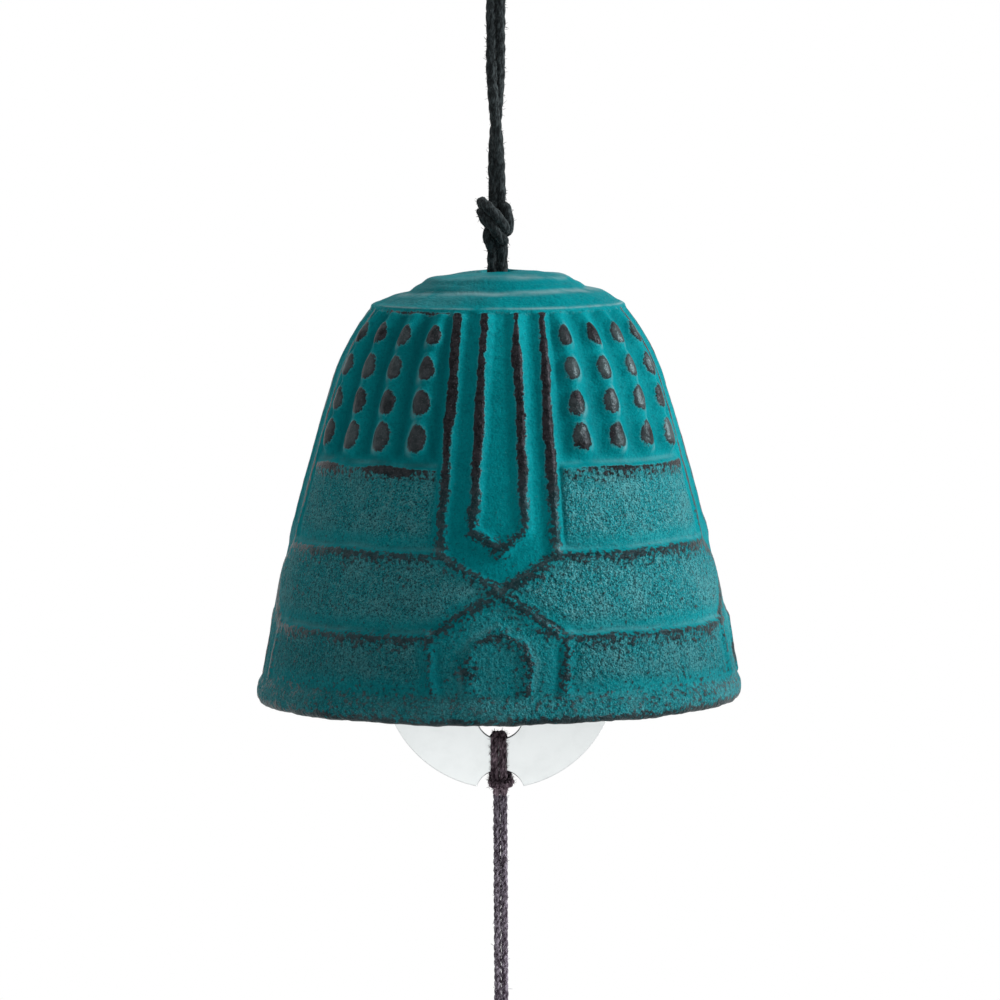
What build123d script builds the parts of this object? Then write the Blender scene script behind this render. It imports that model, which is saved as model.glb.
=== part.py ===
from build123d import *
import os
from math import asin, cos, degrees, pi, sin, sqrt

# A cast-iron wind bell of the temple-bell pattern: a bell on a doubled cord, a flat clapper
# on a thread inside it, and a paper strip below. Millimetres, +Z up, the front faces -Y.
# The origin is where the hanging loop bears on its hook.

# Bell casting, from the rim up
rim_diameter = 70.0
bell_height = 61.7
wall = 3.0
crown_thickness = 4.0
crown_hole = 5.0
lip_height = 3.2
lip_proud = 0.8
lip_rounding = 0.7
side_bulge = 0.5
waist_radius = 24.2
shoulder_height = 12.0  # from the waist up to the shoulder
shoulder_radius = 18.1
shoulder_step = 0.7
tier_radius = 17.4
tier_fall = 2.8
plateau_step = 0.7
plateau_radius = 10.2
plateau_dome = 0.8

# Relief of the casting: one band, one panel of ribs and one panel of bosses to each quarter
quarters = 4
rib_width = 1.5
rib_height = 0.6
upper_rib = 34.5  # the ribs' heights above the rim
middle_rib = 23.1
lower_rib = 11.8
band_top_half = 5.9
band_foot_half = 8.1
band_crossing = 4.5  # below the middle rib
tongue_top_half = 2.1
tongue_foot_half = 3.6
tongue_shoulder = 3.4  # above the middle rib
tongue_tip = 0.8  # above the middle rib
gable_half = 9.7
gable_foot_half = 9.1
arch_half = 4.4
arch_rise = 4.2
arch_apex = 1.0  # above the lower rib
boss_rows = 4
boss_columns = 4
boss_pitch_angle = 13.1
boss_first = 0.66  # row pitches from the shoulder to the top row
boss_last = 1.05  # row pitches from the bottom row to the upper rib
boss_radius = 1.7
boss_proud = 0.9
boss_root = 0.6

# Black cord and its knots
hook_diameter = 6.0
cord_strand = 1.6
cord_width = 2.6
loop_height = 12.0
loop_foot_half = 0.8
loop_shoulder = 4.0  # below the hook
loop_shoulder_bend = 5.0
loop_flat = 0.1  # straight cord between the two bends over the hook
cord_run = 30.2
upper_knot_height = 7.2
upper_knot_width = 5.0
knot_rounding = 1.1
crown_clearance = 3.5  # from the upper knot down to the crown
soft_gap = 0.3  # between cords that bend or turn on each other

# Inside the bell
washer_diameter = 10.0
washer_hole = 3.4
washer_thickness = 0.8
stop_knot_width = 5.6
stop_knot_height = 4.4
line_knot_width = 3.4
line_knot_height = 3.0
line_knot_rounding = 0.6

# Clapper plate and the thread hitched to it
disc_diameter = 34.0
disc_thickness = 1.0
disc_level = 3.6  # its centre above the rim
disc_hole = 6.7
disc_hole_offset = 6.4
notch_radius = 3.6
notch_offset = 17.9
thread_strand = 1.0
thread_width = 2.0
hitch_width = 2.2
hitch_gap = 0.12
hitch_knot_width = 3.0
hitch_knot_height = 2.0
hitch_knot_rounding = 0.5

# Wind thread and paper strip
wind_run = 31.7
strip_knot_width = 2.8
strip_knot_height = 2.6
strip_knot_rounding = 0.4
strip_loop_half = 2.2
strip_loop_height = 7.0
strip_loop_neck_half = 0.6
strip_loop_neck = 0.8  # straight thread under the knot
strip_loop_spread = 2.8  # below the knot
strip_loop_neck_bend = 1.0
strip_loop_spread_bend = 2.0
strip_loop_flat = 0.2  # straight thread between the two bends under the paper
strip_width = 50.0
strip_length = 128.0
strip_thickness = 0.35
strip_hole = 3.0
strip_margin = 3.0  # paper between the hole and the top edge

# The hitches go round the webs between each hole and its notch, measured from the disc's centre
hitch_half = hitch_width / 2
web_inner = disc_hole_offset + sqrt((disc_hole / 2) ** 2 - hitch_half**2) - hitch_gap
web_outer = notch_offset - sqrt(notch_radius**2 - hitch_half**2) + hitch_gap
hitch_knot_start = web_outer + thread_strand / 2
hitch_knot_end = hitch_knot_start + hitch_knot_height

# Levels along the axis, from the hook down
cord_pivot = -loop_height - soft_gap - cord_width / 2
upper_knot_top = cord_pivot - cord_run
upper_knot_foot = upper_knot_top - upper_knot_height
bell_pivot = upper_knot_foot - soft_gap - cord_width / 2
crown_top = upper_knot_foot - crown_clearance
rim = crown_top - bell_height
crown_underside = crown_top - crown_thickness
washer_foot = crown_underside - washer_thickness
stop_knot_foot = washer_foot - stop_knot_height
line_knot_top = stop_knot_foot - soft_gap
line_knot_foot = line_knot_top - line_knot_height
clapper_pivot = line_knot_foot - soft_gap - thread_width / 2
disc_center = rim + disc_level
wind_pivot = disc_center - hitch_knot_end - soft_gap - thread_width / 2
wind_foot = wind_pivot - wind_run
strip_knot_top = wind_foot - soft_gap
strip_knot_foot = strip_knot_top - strip_knot_height
strip_axis = strip_knot_foot - strip_loop_height
strip_hole_level = strip_axis + thread_strand / 2 + hitch_gap - strip_hole / 2
strip_top = strip_hole_level + strip_hole / 2 + strip_margin

# Corners of the bell's half section, as radius and height above the rim
rim_radius = rim_diameter / 2
plateau_edge = bell_height - plateau_dome
tier_top = plateau_edge - plateau_step
tier_edge = tier_top - tier_fall
shoulder_level = tier_edge - shoulder_step
waist_level = shoulder_level - shoulder_height
inner_crown = bell_height - crown_thickness
lip_top = (rim_radius - lip_proud, lip_height)
waist = (waist_radius, waist_level)
shoulder = (shoulder_radius, shoulder_level)
inner_rim = (rim_radius - lip_proud - wall, 0)
inner_waist = (waist_radius - wall, waist_level)
inner_shoulder = (tier_radius - wall, tier_edge - wall)
inner_plateau = (plateau_radius - wall / 2, inner_crown)
bell_plane = Plane(origin=(0, 0, rim), x_dir=(1, 0, 0), z_dir=(0, -1, 0))


def round_barrel(width, height, top, rounding):
    """A knot, drawn as a rounded barrel that hangs from a level on the axis."""
    with BuildPart() as knot:
        with BuildSketch(Plane.XY.offset(top)):
            Circle(width / 2)
        extrude(amount=-height)
        fillet(knot.edges().filter_by(GeomType.CIRCLE), radius=rounding)
    return knot


def hung_cord(pivot, foot, width):
    """A straight cord down the axis, with a ball end at the pivot on which it swings."""
    with BuildPart() as cord:
        with BuildSketch(Plane.XY.offset(foot)):
            Circle(width / 2)
        extrude(amount=pivot - foot)
        with Locations((0, 0, pivot)):
            Sphere(width / 2)
    return cord


def web_hitch(side):
    """Thread hitched round a web of the clapper: 1 is the upper web, -1 the lower."""
    with BuildPart() as hitch:
        with BuildSketch(Plane(origin=(0, 0, disc_center), x_dir=(0, 1, 0), z_dir=(1, 0, 0))):
            with Locations((0, side * (web_inner + web_outer) / 2)):
                ring_width = disc_thickness + 2 * hitch_gap
                ring_height = web_outer - web_inner
                RectangleRounded(
                    ring_width + 2 * thread_strand, ring_height + 2 * thread_strand, thread_strand
                )
                Rectangle(ring_width, ring_height, mode=Mode.SUBTRACT)
        extrude(amount=hitch_half, both=True)
        with BuildSketch(Plane.XY.offset(disc_center + side * hitch_knot_start)):
            Circle(hitch_knot_width / 2)
        extrude(amount=side * hitch_knot_height)
        knot_end = hitch.edges().filter_by(GeomType.CIRCLE).sort_by(Axis.Z, reverse=side > 0)[0]
        fillet(knot_end, radius=hitch_knot_rounding)
    return hitch


def report_tube(name, tube, path, strand, radii):
    """Print a swept cord's bend radii, and its volume against its section times its length."""
    expected = pi * strand**2 / 4 * path.length
    print(f"{name}: radii {[round(r, 2) for r in radii]}, volume {tube.volume:.2f} of {expected:.2f}")


# Hanging loop: both legs of the cord spread into an eye over the hook
loop_half = (hook_diameter + cord_strand) / 2
loop_top_bend = loop_half - loop_flat / 2
loop_radii = [loop_shoulder_bend, loop_top_bend, loop_top_bend, loop_shoulder_bend]
with BuildPart() as hanging_loop:
    with BuildLine(Plane.XZ) as loop_path:
        FilletPolyline(
            (-loop_foot_half, -loop_height),
            (-loop_half, -loop_shoulder),
            (-loop_half, cord_strand / 2),
            (loop_half, cord_strand / 2),
            (loop_half, -loop_shoulder),
            (loop_foot_half, -loop_height),
            radius=loop_radii,
        )
    with BuildSketch(Plane(origin=loop_path.line @ 0, z_dir=loop_path.line % 0)):
        Circle(cord_strand / 2)
    sweep()
report_tube("hanging_loop", hanging_loop.part, loop_path.wire(), cord_strand, loop_radii)

# Black cord: down to the upper knot, and on through the crown to the stop knot
hanging_cord = hung_cord(cord_pivot, upper_knot_top, cord_width)
upper_knot = round_barrel(upper_knot_width, upper_knot_height, upper_knot_top, knot_rounding)
crown_cord = hung_cord(bell_pivot, washer_foot, cord_width)
stop_knot = round_barrel(stop_knot_width, stop_knot_height, washer_foot, knot_rounding)

with BuildPart() as crown_washer:
    with BuildSketch(Plane.XY.offset(washer_foot)):
        Circle(washer_diameter / 2)
        Circle(washer_hole / 2, mode=Mode.SUBTRACT)
    extrude(amount=washer_thickness)

# The wall's outside from the lip to the shoulder, in section, on which the relief lies
with BuildLine() as wall_line:
    side_arc = SagittaArc(lip_top, waist, -side_bulge)
    TangentArc(waist, shoulder, tangent=side_arc % 1)
wall_wire = wall_line.wire()


def wall_spot(height):
    """Radius of the wall at a height above the rim, and its outward normal in section."""
    low, high = 0.0, 1.0
    for _ in range(40):
        middle = (low + high) / 2
        if wall_wire.position_at(middle).Y < height:
            low = middle
        else:
            high = middle
    tangent = wall_wire.tangent_at(low)
    return wall_wire.position_at(low).X, Vector(tangent.Y, -tangent.X)


# Relief of one quarter: the front band with its tongue, gable and arch
with BuildPart() as relief_skin:
    with BuildSketch(bell_plane):
        trace(wall_line.line, line_width=2 * rib_height)
    revolve(axis=Axis.Z)

arch_spring = lower_rib + arch_apex - arch_rise
with BuildPart() as front_ribs:
    with BuildSketch(bell_plane):
        with BuildLine():
            for side in (-1, 1):
                Polyline(
                    (side * band_top_half, shoulder_level),
                    (side * band_foot_half, middle_rib),
                    (0, middle_rib - band_crossing),
                    (side * gable_half, lower_rib),
                    (side * gable_foot_half, lip_height),
                )
                Polyline(
                    (side * tongue_top_half, shoulder_level),
                    (side * tongue_foot_half, middle_rib + tongue_shoulder),
                    (0, middle_rib + tongue_tip),
                )
                Line((side * arch_half, lip_height), (side * arch_half, arch_spring))
            ThreePointArc(
                (-arch_half, arch_spring), (0, lower_rib + arch_apex), (arch_half, arch_spring)
            )
        trace(line_width=rib_width)
    extrude(amount=rim_radius)
    add(relief_skin.part, mode=Mode.INTERSECT)

# The level ribs between two bands
with BuildPart() as panel_ribs:
    for level, half in (
        (upper_rib, band_foot_half),
        (middle_rib, band_foot_half),
        (lower_rib, gable_half),
    ):
        radius, normal = wall_spot(level)
        start = asin(half / radius)
        start_plane = Plane(
            origin=(0, 0, rim),
            x_dir=(cos(start), sin(start), 0),
            z_dir=(sin(start), -cos(start), 0),
        )
        with BuildSketch(start_plane):
            with Locations((radius, level)):
                Rectangle(2 * rib_height, rib_width, rotation=degrees(asin(normal.Y)))
        revolve(axis=Axis.Z, revolution_arc=360 / quarters - 2 * degrees(start))

# The domed bosses above the ribs
with BuildPart() as relief_boss:
    with BuildSketch(Plane.XZ):
        with BuildLine():
            Polyline((0, boss_proud), (0, -boss_root), (boss_radius, -boss_root), (boss_radius, 0))
            TangentArc((0, boss_proud), (boss_radius, 0), tangent=(1, 0))
        make_face()
    revolve(axis=Axis.Z)

boss_spots = []
boss_pitch = (shoulder_level - upper_rib) / (boss_first + boss_rows - 1 + boss_last)
for row in range(boss_rows):
    level = shoulder_level - (boss_first + row) * boss_pitch
    radius, normal = wall_spot(level)
    row_plane = Plane(origin=(radius, 0, rim + level), z_dir=(normal.X, 0, normal.Y))
    for column in range(boss_columns):
        angle = 180 / quarters + (column - (boss_columns - 1) / 2) * boss_pitch_angle
        boss_spots.append(Location((0, 0, 0), (0, 0, angle)) * row_plane.location)

with BuildPart() as panel_bosses:
    with Locations(*boss_spots):
        add(relief_boss.part)

# Bell: the turned shell, then the relief on each quarter
with BuildPart() as bell_shell:
    with BuildSketch(bell_plane):
        with BuildLine():
            Polyline(inner_rim, (rim_radius, 0), (rim_radius, lip_height), lip_top)
            add(wall_line.line)
            Polyline(
                shoulder,
                (tier_radius, tier_edge),
                (plateau_radius + plateau_step, tier_top),
                (plateau_radius, plateau_edge),
                (crown_hole / 2, bell_height),
                (crown_hole / 2, inner_crown),
                inner_plateau,
                inner_shoulder,
            )
            inner_arc = SagittaArc(inner_rim, inner_waist, -side_bulge)
            TangentArc(inner_waist, inner_shoulder, tangent=inner_arc % 1)
        make_face()
    revolve(axis=Axis.Z)
    rim_edges = bell_shell.edges().filter_by(GeomType.CIRCLE).group_by(Axis.Z)[0]
    fillet(rim_edges, radius=lip_rounding)
    with PolarLocations(0, quarters):
        add([front_ribs.part, panel_ribs.part, panel_bosses.part])

# Clapper: the knot that ties its thread on, the thread, the plate and its hitches
line_knot = round_barrel(line_knot_width, line_knot_height, line_knot_top, line_knot_rounding)
clapper_thread = hung_cord(clapper_pivot, disc_center + hitch_knot_end, thread_width)
upper_hitch = web_hitch(1)
lower_hitch = web_hitch(-1)

with BuildPart() as clapper_disc:
    with BuildSketch(Plane(origin=(0, 0, disc_center), x_dir=(1, 0, 0), z_dir=(0, -1, 0))):
        Circle(disc_diameter / 2)
        with Locations((0, disc_hole_offset), (0, -disc_hole_offset)):
            Circle(disc_hole / 2, mode=Mode.SUBTRACT)
        with Locations((0, notch_offset), (0, -notch_offset)):
            Circle(notch_radius, mode=Mode.SUBTRACT)
    extrude(amount=disc_thickness / 2, both=True)

# Wind thread, with the loop that carries the paper strip
wind_thread = hung_cord(wind_pivot, wind_foot, thread_width)
strip_knot = round_barrel(strip_knot_width, strip_knot_height, strip_knot_top, strip_knot_rounding)

strip_loop_bend = strip_loop_half - strip_loop_flat / 2
strip_loop_radii = [
    strip_loop_neck_bend,
    strip_loop_spread_bend,
    strip_loop_bend,
    strip_loop_bend,
    strip_loop_spread_bend,
    strip_loop_neck_bend,
]
with BuildPart() as strip_loop:
    with BuildLine(Plane.YZ) as strip_loop_path:
        FilletPolyline(
            (-strip_loop_neck_half, strip_knot_foot),
            (-strip_loop_neck_half, strip_knot_foot - strip_loop_neck),
            (-strip_loop_half, strip_knot_foot - strip_loop_spread),
            (-strip_loop_half, strip_axis),
            (strip_loop_half, strip_axis),
            (strip_loop_half, strip_knot_foot - strip_loop_spread),
            (strip_loop_neck_half, strip_knot_foot - strip_loop_neck),
            (strip_loop_neck_half, strip_knot_foot),
            radius=strip_loop_radii,
        )
    with BuildSketch(Plane(origin=strip_loop_path.line @ 0, z_dir=strip_loop_path.line % 0)):
        Circle(thread_strand / 2)
    sweep()
report_tube("strip_loop", strip_loop.part, strip_loop_path.wire(), thread_strand, strip_loop_radii)

with BuildPart() as paper_strip:
    with BuildSketch(Plane.XZ):
        with Locations((0, strip_top - strip_length / 2)):
            Rectangle(strip_width, strip_length)
        with Locations((0, strip_hole_level)):
            Circle(strip_hole / 2, mode=Mode.SUBTRACT)
    extrude(amount=strip_thickness / 2, both=True)

# Each piece is its own node
pieces = {
    "hanging_loop": hanging_loop,
    "hanging_cord": hanging_cord,
    "upper_knot": upper_knot,
    "crown_cord": crown_cord,
    "bell_shell": bell_shell,
    "crown_washer": crown_washer,
    "stop_knot": stop_knot,
    "line_knot": line_knot,
    "clapper_thread": clapper_thread,
    "upper_hitch": upper_hitch,
    "clapper_disc": clapper_disc,
    "lower_hitch": lower_hitch,
    "wind_thread": wind_thread,
    "strip_knot": strip_knot,
    "strip_loop": strip_loop,
    "paper_strip": paper_strip,
}
os.makedirs("parts", exist_ok=True)
for node_name, piece in pieces.items():
    piece.part.label = node_name
    export_step(piece.part, f"parts/{node_name}.step")

# Pivots, for the joints
for pivot_name, level in (
    ("cord_pivot", cord_pivot),
    ("bell_pivot", bell_pivot),
    ("line_knot_top", line_knot_top),
    ("clapper_pivot", clapper_pivot),
    ("wind_pivot", wind_pivot),
    ("strip_knot_top", strip_knot_top),
    ("strip_axis", strip_axis),
    ("rim", rim),
    ("disc_center", disc_center),
):
    print(f"{pivot_name}: {level:.3f}")
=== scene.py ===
import math

import bpy
import numpy as np
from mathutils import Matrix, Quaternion, Vector


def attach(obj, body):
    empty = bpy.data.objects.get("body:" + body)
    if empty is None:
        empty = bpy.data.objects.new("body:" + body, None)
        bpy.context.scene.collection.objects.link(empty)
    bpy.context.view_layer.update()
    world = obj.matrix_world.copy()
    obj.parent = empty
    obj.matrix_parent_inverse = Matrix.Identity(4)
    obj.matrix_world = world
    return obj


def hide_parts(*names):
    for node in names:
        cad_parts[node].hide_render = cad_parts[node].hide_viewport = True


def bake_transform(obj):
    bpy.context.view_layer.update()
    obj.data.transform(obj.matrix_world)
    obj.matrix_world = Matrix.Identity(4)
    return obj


# A cast-iron wind bell on a knotted black cord, with its clapper and paper strip.
# Sizes here are millimetres in the model's frame: +Z up, the front faces -Y.
# What goes straight to Blender or to the frame, such as a lamp's place, is in metres.
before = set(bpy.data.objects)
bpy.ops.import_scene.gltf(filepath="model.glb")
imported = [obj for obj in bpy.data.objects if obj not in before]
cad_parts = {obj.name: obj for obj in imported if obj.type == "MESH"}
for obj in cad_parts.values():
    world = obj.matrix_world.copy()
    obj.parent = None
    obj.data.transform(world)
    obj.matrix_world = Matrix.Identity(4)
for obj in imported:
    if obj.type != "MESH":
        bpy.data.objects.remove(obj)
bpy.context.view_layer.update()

# Levels of the pieces, from the top down
upper_knot_top = -43.8
washer_foot = -59.3
line_knot_top = -64.0
disc_center = -112.6
rim = -116.2
strip_knot_top = -162.992
strip_knot_foot = -165.592
strip_axis = -172.592


# Small tools
def ease(value, low, high):
    """0 below low, 1 above high, and a smooth rise between them."""
    step = np.clip((value - low) / (high - low), 0, 1)
    return step * step * (3 - 2 * step)


def peak(value, middle, width):
    """1 at the middle, and a smooth fall on both sides of it."""
    return np.exp(-(((value - middle) / width) ** 2))


def lattice(cell, seed):
    """A repeatable value from -1 to 1 for each whole-number cell, by mixing its bits."""
    mixed = cell[..., 0] * 73856093 ^ cell[..., 1] * 19349663 ^ cell[..., 2] * 83492791 ^ seed * 40503
    mixed = (mixed ^ (mixed >> 13)) * 1274126177 & 0x7FFFFFFF
    return ((mixed ^ (mixed >> 16)) & 0xFFFF) / 32767.5 - 1


def noise(points, size, seed):
    """Smooth noise from -1 to 1 with bumps of about the given size."""
    place = np.asarray(points) / size
    cell = np.floor(place).astype(np.int64)
    step = place - cell
    step = step * step * (3 - 2 * step)
    total = 0
    for corner in np.ndindex(2, 2, 2):
        weight = np.prod(np.where(corner, step, 1 - step), axis=-1)
        total = total + weight * lattice(cell + np.array(corner), seed)
    return total


def reach_along(path):
    """How far along a path each of its points lies."""
    return np.concatenate([[0], np.cumsum(np.linalg.norm(np.diff(path, axis=0), axis=1))])


def grid_faces(rows, columns, close_rows=False):
    """Quads over rows of points, where each row closes on itself."""
    row = np.arange(rows if close_rows else rows - 1)[:, None]
    column = np.arange(columns)[None, :]
    beside = (column + 1) % columns
    here = row * columns
    above = (row + 1) % rows * columns
    corners = [here + column, here + beside, above + beside, above + column]
    return np.stack(corners, axis=-1).reshape(-1, 4).tolist()


def link_piece(name, data, material):
    """Put a mesh into the scene as a piece of one material."""
    data.materials.append(material)
    piece = bpy.data.objects.new(name, data)
    bpy.context.collection.objects.link(piece)
    return piece


def add_mesh(name, points, faces, material):
    """A smooth piece from points in millimetres and faces that list them."""
    mesh = bpy.data.meshes.new(name)
    mesh.from_pydata((np.asarray(points) / 1000).tolist(), [], faces)
    mesh.shade_smooth()
    return link_piece(name, mesh, material)


def set_values(piece, name, values):
    """Keep one number for each point of a mesh, for its material."""
    attribute = piece.data.attributes.new(name, "FLOAT", "POINT")
    attribute.data.foreach_set("value", np.asarray(values, dtype=np.float32).ravel())


def curve_points(curve):
    """Points of a curve with no bevel, in millimetres."""
    holder = bpy.data.objects.new("route", curve)
    mesh = bpy.data.meshes.new_from_object(holder)
    points = np.array([vertex.co[:] for vertex in mesh.vertices]) * 1000
    bpy.data.objects.remove(holder)
    bpy.data.meshes.remove(mesh)
    bpy.data.curves.remove(curve)
    return points


def route_points(route, step=0.2):
    """Points along the smooth line of a route, about one step apart."""
    curve = bpy.data.curves.new("route", "CURVE")
    curve.dimensions = "3D"
    line = curve.splines.new("NURBS")
    line.points.add(len(route) - 1)
    for point, place in zip(line.points, route):
        point.co = (*[value / 1000 for value in place], 1)
    line.order_u = 3
    line.use_endpoint_u = True
    length = np.linalg.norm(np.diff(np.array(route, float), axis=0), axis=1).sum()
    line.resolution_u = max(4, round(length / step / (len(route) - 2)))
    return curve_points(curve)


# Materials
def new_material(name):
    """A material with its node tree and its main shader."""
    material = bpy.data.materials.new(name)
    material.use_nodes = True
    return material, material.node_tree, material.node_tree.nodes["Principled BSDF"]


def node(tree, kind, inputs=(), **settings):
    """A shader node with its settings, and its inputs set or linked."""
    made = tree.nodes.new("ShaderNode" + kind)
    for key, value in settings.items():
        setattr(made, key, value)
    for key, value in dict(inputs).items():
        if isinstance(value, bpy.types.NodeSocket):
            tree.links.new(value, made.inputs[key])
        else:
            made.inputs[key].default_value = value
    return made


def grain(tree, place, scale, detail=2.0, roughness=0.6):
    """Noise from 0 to 1, finer for a larger scale."""
    inputs = {"Vector": place, "Scale": scale, "Detail": detail, "Roughness": roughness}
    return node(tree, "TexNoise", inputs).outputs["Fac"]


def mix(tree, factor, first, second):
    """The first colour where the factor is 0, and the second where it is 1."""
    made = node(tree, "Mix", {0: factor, 6: first, 7: second}, data_type="RGBA")
    return made.outputs[2]


def between(tree, value, low, high, to_low=0.0, to_high=1.0):
    """A smooth step from one number to another as a value goes from low to high."""
    inputs = {"Value": value, "From Min": low, "From Max": high, "To Min": to_low, "To Max": to_high}
    return node(tree, "MapRange", inputs, interpolation_type="SMOOTHSTEP").outputs["Result"]


def dapple(tree, base, color, pattern, low, high, amount=1.0):
    """A colour laid over a base, up to an amount, as a pattern goes from low to high."""
    return mix(tree, between(tree, pattern, low, high, 0.0, amount), base, color)


def sums(tree, operation, first, second):
    """Two values added, multiplied or the like."""
    return node(tree, "Math", {0: first, 1: second}, operation=operation).outputs[0]


def stored(tree, name):
    """A number that the mesh keeps for each of its points."""
    return node(tree, "Attribute", attribute_name=name).outputs["Fac"]


def place_of(tree, stretch=(1, 1, 1)):
    """Place on the piece in metres, scaled along each axis."""
    place = node(tree, "TexCoord").outputs["Object"]
    return node(tree, "Mapping", {"Vector": place, "Scale": stretch}).outputs["Vector"]


def bump(tree, shader, height, strength, distance):
    """Fine relief in a material, from a pattern of heights."""
    made = node(tree, "Bump", {"Height": height, "Strength": strength, "Distance": distance})
    tree.links.new(made.outputs["Normal"], shader.inputs["Normal"])


def bell_paint():
    """Teal paint, smooth in the fields and sandy in the panels, rubbed back to dark iron on the relief."""
    material, tree, shader = new_material("bell_paint")
    place = place_of(tree)
    finer = grain(tree, place, 6200, 1.0)
    fine = grain(tree, place, 3900, 2.0, 0.7)
    specks = grain(tree, place, 1700, 1.0)
    coarse = grain(tree, place, 1100)
    patches = grain(tree, place, 190, 3.0)
    broad = grain(tree, place, 70)
    sandy = stored(tree, "sandy")
    grainy = stored(tree, "grainy")
    grainy_range = (0.4, 2.2)
    # Smooth paint, and sandy paint with stronger specks
    glaze = dapple(tree, (0, 0.3093, 0.3524, 1), (0.0013, 0.39, 0.437, 1), broad, 0.3, 0.7)
    glaze = dapple(tree, glaze, (0, 0.2017, 0.2393, 1), coarse, 0.5, 0.32, 0.4)
    glaze = dapple(tree, glaze, (0, 0.1614, 0.1949, 1), fine, 0.52, 0.32, 0.5)
    glaze = dapple(tree, glaze, (0.0672, 0.511, 0.5379, 1), finer, 0.66, 0.76, 0.6)
    sand = dapple(tree, (0.0161, 0.3509, 0.4024, 1), (0.0961, 0.4288, 0.4757, 1), patches, 0.4, 0.72)
    sand = dapple(tree, sand, (0.157, 0.53, 0.561, 1), coarse, 0.5, 0.68, 0.6)
    sand = dapple(tree, sand, (0.207, 0.624, 0.655, 1), finer, 0.54, 0.66, 0.85)
    sand = dapple(tree, sand, (0.0107, 0.0807, 0.0995, 1), fine, 0.53, 0.36, 0.95)
    paint = mix(tree, sandy, glaze, sand)
    # Darker paint: painted shade low down and in the valleys between the boss pads, and a darker band near
    # the lip and on the crown
    paint = mix(tree, stored(tree, "paint_darkening"), paint, (0, 0.0941, 0.1142, 1))
    # Bare iron with lighter specks
    iron = dapple(tree, (0.0067, 0.0068, 0.0079, 1), (0.0199, 0.0192, 0.0223, 1), coarse, 0.35, 0.7)
    iron = dapple(tree, iron, (0.0497, 0.0463, 0.0505, 1), finer, 0.56, 0.74)
    # Wear with a grainy edge: the paint changes colour as it thins, and then the iron shows
    spread = sums(tree, "ADD", sums(tree, "MULTIPLY", fine, 0.8), sums(tree, "MULTIPLY", coarse, 0.7))
    worn = sums(tree, "ADD", stored(tree, "rubbed"), sums(tree, "SUBTRACT", spread, 0.75))
    strewn = sums(tree, "MULTIPLY", sums(tree, "SUBTRACT", specks, 0.5), grainy)
    worn = sums(tree, "ADD", worn, strewn)
    rimmed = dapple(tree, (0.0807, 0.4303, 0.4639, 1), (0.0027, 0.0739, 0.0914, 1), grainy, *grainy_range)
    paint = dapple(tree, paint, rimmed, worn, 0.24, 0.46, 0.36)
    bare_from = between(tree, grainy, *grainy_range, 0.62, 0.84)
    rubbed = between(tree, worn, 0.4, bare_from)
    iron_share = between(tree, grainy, *grainy_range, 1.0, 0.92)
    color = mix(tree, sums(tree, "MULTIPLY", rubbed, iron_share), paint, iron)
    # Painted highlights: a pale colour laid over the rest where the mesh marks them
    painted_highlight = sums(tree, "MULTIPLY", stored(tree, "painted_highlight"), between(tree, patches, 0.3, 0.6))
    color = mix(tree, painted_highlight, color, (0.4034, 0.6186, 0.6455, 1))
    color = mix(tree, stored(tree, "inside"), color, (0.0162, 0.0215, 0.0242, 1))
    tree.links.new(color, shader.inputs["Base Color"])
    tree.links.new(between(tree, rubbed, 0.0, 1.0, 0.6, 0.42), shader.inputs["Roughness"])
    tree.links.new(sums(tree, "MULTIPLY", rubbed, 0.85), shader.inputs["Metallic"])
    shader.inputs["Specular IOR Level"].default_value = 0.03
    rough = sums(tree, "MAXIMUM", sandy, 0.16)
    pits = sums(tree, "ADD", sums(tree, "MULTIPLY", fine, 0.5), sums(tree, "MULTIPLY", specks, 1.3))
    bump(tree, shader, sums(tree, "MULTIPLY", pits, rough), 0.9, 0.0006)
    return material


def cotton(name, dark, light, scale):
    """Matted cotton: short fibres of two tones along a soft surface."""
    material, tree, shader = new_material(name)
    fibres = grain(tree, place_of(tree, (1, 1, 0.35)), scale, 3.0, 0.7)
    color = dapple(tree, dark, light, fibres, 0.38, 0.7)
    tree.links.new(color, shader.inputs["Base Color"])
    shader.inputs["Roughness"].default_value = 0.9
    shader.inputs["Specular IOR Level"].default_value = 0.15
    shader.inputs["Sheen Weight"].default_value = 0.12
    bump(tree, shader, fibres, 0.6, 0.0002)
    return material


def satin_metal(name, bright, worn, rough):
    """Sheet metal with a brushed grain and fine scratches."""
    material, tree, shader = new_material(name)
    brushed = grain(tree, place_of(tree, (0.06, 1, 1)), 5000)
    marks = grain(tree, place_of(tree), 240, 4.0, 0.7)
    color = dapple(tree, bright, worn, marks, 0.4, 0.75)
    tree.links.new(color, shader.inputs["Base Color"])
    satin = between(tree, brushed, 0.2, 0.8, rough - 0.02, rough + 0.03)
    tree.links.new(satin, shader.inputs["Roughness"])
    shader.inputs["Metallic"].default_value = 1.0
    bump(tree, shader, brushed, 0.02, 0.00002)
    return material


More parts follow.
